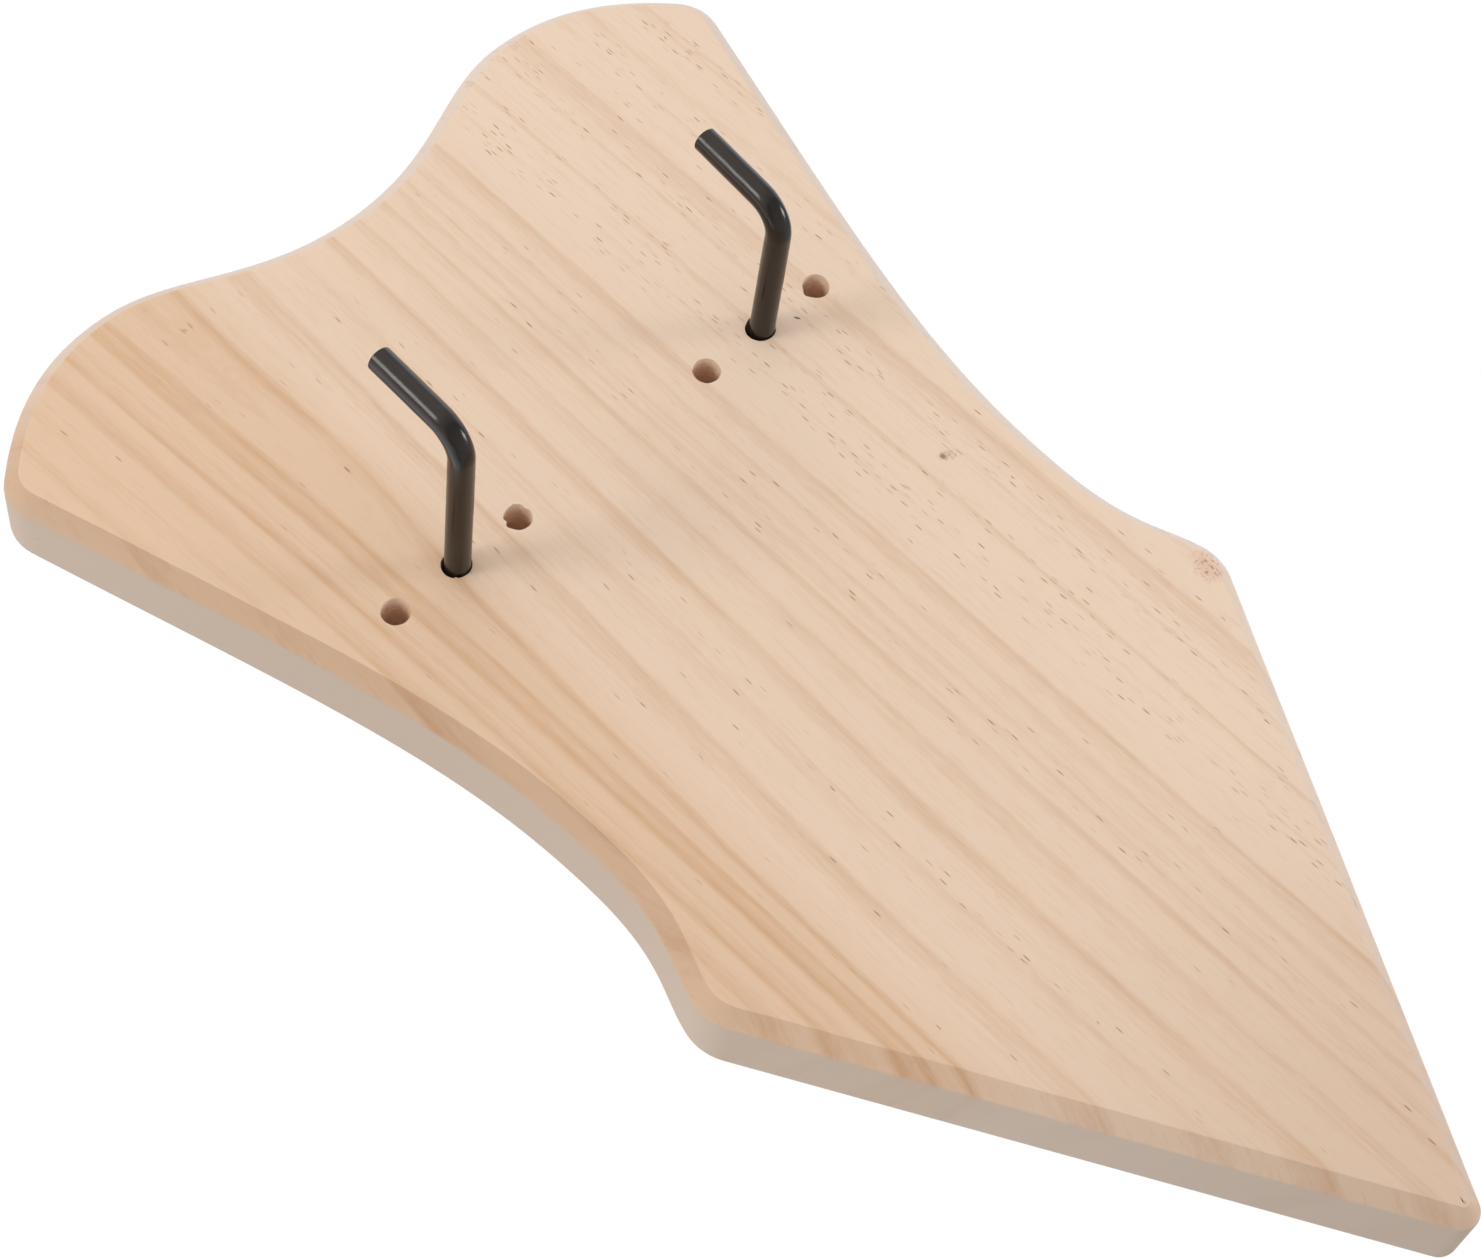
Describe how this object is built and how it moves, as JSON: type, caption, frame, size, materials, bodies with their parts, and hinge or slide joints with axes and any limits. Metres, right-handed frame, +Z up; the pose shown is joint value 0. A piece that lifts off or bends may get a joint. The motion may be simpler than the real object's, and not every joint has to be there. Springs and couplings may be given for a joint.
{
  "type": "wall guitar hanger",
  "caption": "Headstock-shaped pine board that hangs on the wall and carries a guitar by its headstock on bent steel pegs in black sleeves.",
  "frame": {"origin": "on the board's back face, on the centre line, at the height of the line of peg holes", "axes": "+Z up as it hangs on the wall, +Y into the wall square to the back face, +X to the right as seen from the front; the pegs point to -Y"},
  "size_m": [0.199, 0.0664, 0.3263],
  "materials": {
    "pine": "planed and sanded bare softwood, fine straight grain, dry and matt",
    "steel": "cropped bright steel bar, seen only at its ends",
    "black_sleeve": "satin black shrink sleeve with a soft sheen and small creases"
  },
  "bodies": {
    "root": {"board": "pine"},
    "left_peg": {"left_rod": "steel", "left_sleeve": "black_sleeve"},
    "right_peg": {"right_rod": "steel", "right_sleeve": "black_sleeve"}
  },
  "joints": [
    {"name": "left_peg_slide", "type": "slide", "parent": "root", "child": "left_peg", "axis": [0, -1, 0], "range_m": [-0.0105, 0.0139]},
    {"name": "right_peg_slide", "type": "slide", "parent": "root", "child": "right_peg", "axis": [0, -1, 0], "range_m": [-0.0044, 0.02]}
  ]
}
